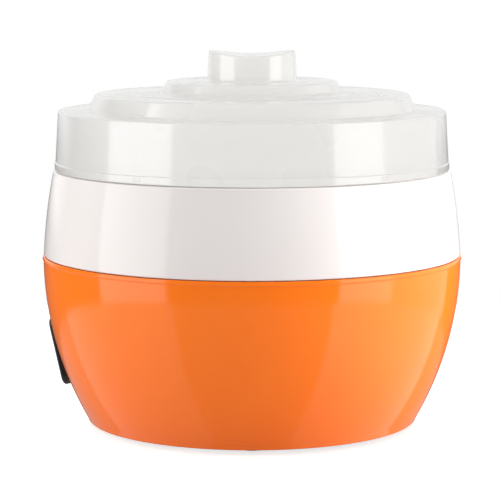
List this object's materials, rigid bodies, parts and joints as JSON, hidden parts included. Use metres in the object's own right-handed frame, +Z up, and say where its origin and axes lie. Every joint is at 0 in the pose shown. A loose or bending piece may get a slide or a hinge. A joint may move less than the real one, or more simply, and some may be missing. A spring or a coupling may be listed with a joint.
{
  "type": "yogurt maker",
  "caption": "Barrel-shaped yogurt maker: warm base with mains inlet, lift-out steel pot with its own lid, and a stepped translucent outer lid with a round saddle-topped knob.",
  "frame": {"origin": "on the table, under the middle of the four feet", "axes": "+Z up along the body's axis; -Y is the front, which the knob's saddle faces; the mains inlet is at the left rear, 13 degrees behind -X"},
  "size_m": [0.1752, 0.1752, 0.1564],
  "materials": {
    "orange_shell": "moulded, high gloss",
    "white_shell": "moulded, high gloss",
    "milky_plastic": "translucent natural polypropylene, glossy",
    "tub_plastic": "moulded, satin",
    "base_plastic": "moulded, fine spark texture",
    "black_plastic": "moulded, glossy",
    "foot_rubber": "moulded rubber",
    "pot_steel": "drawn stainless steel, satin",
    "plate_aluminium": "turned, satin",
    "fuse_metal": "drawn case, satin",
    "zinc_steel": "zinc plated",
    "pin_brass": "bright",
    "heater_ceramic": "ceramic, stands in for a positive-temperature-coefficient element",
    "mica_sheet": "pressed mica, silky",
    "brown_wire": "insulated wire",
    "blue_wire": "insulated wire"
  },
  "bodies": {
    "base": {"lower_shell": "orange_shell", "upper_shell": "white_shell", "heating_tub": "tub_plastic", "base_cover": "base_plastic", "rubber_foot_1": "foot_rubber", "rubber_foot_2": "foot_rubber", "rubber_foot_3": "foot_rubber", "rubber_foot_4": "foot_rubber", "base_screw_1": "zinc_steel", "base_screw_2": "zinc_steel", "base_screw_3": "zinc_steel", "base_screw_4": "zinc_steel", "heating_plate": "plate_aluminium", "ptc_heater": "heater_ceramic", "heater_insulator": "mica_sheet", "heater_clamp": "zinc_steel", "clamp_screw_1": "zinc_steel", "clamp_screw_2": "zinc_steel", "thermostat": "black_plastic", "thermal_fuse": "fuse_metal", "inlet_housing": "black_plastic", "inlet_clip": "zinc_steel", "inlet_pin_1": "pin_brass", "inlet_pin_2": "pin_brass", "wire_terminal_1": "pin_brass", "wire_terminal_2": "pin_brass", "wire_live": "brown_wire", "wire_fuse_to_heater": "brown_wire", "wire_neutral": "blue_wire", "wire_thermostat_to_heater": "blue_wire"},
    "inner_pot": {"inner_pot": "pot_steel"},
    "pot_lid": {"pot_lid": "milky_plastic"},
    "outer_lid": {"outer_lid": "milky_plastic"}
  },
  "joints": [
    {"name": "pot_lift", "type": "slide", "parent": "base", "child": "inner_pot", "axis": [0, 0, 1], "range_m": [0, 0.095]},
    {"name": "pot_lid_lift", "type": "slide", "parent": "inner_pot", "child": "pot_lid", "axis": [0, 0, 1], "range_m": [0, 0.04]},
    {"name": "lid_lift", "type": "slide", "parent": "pot_lid", "child": "outer_lid", "axis": [0, 0, 1], "range_m": [0, 0.06]}
  ]
}
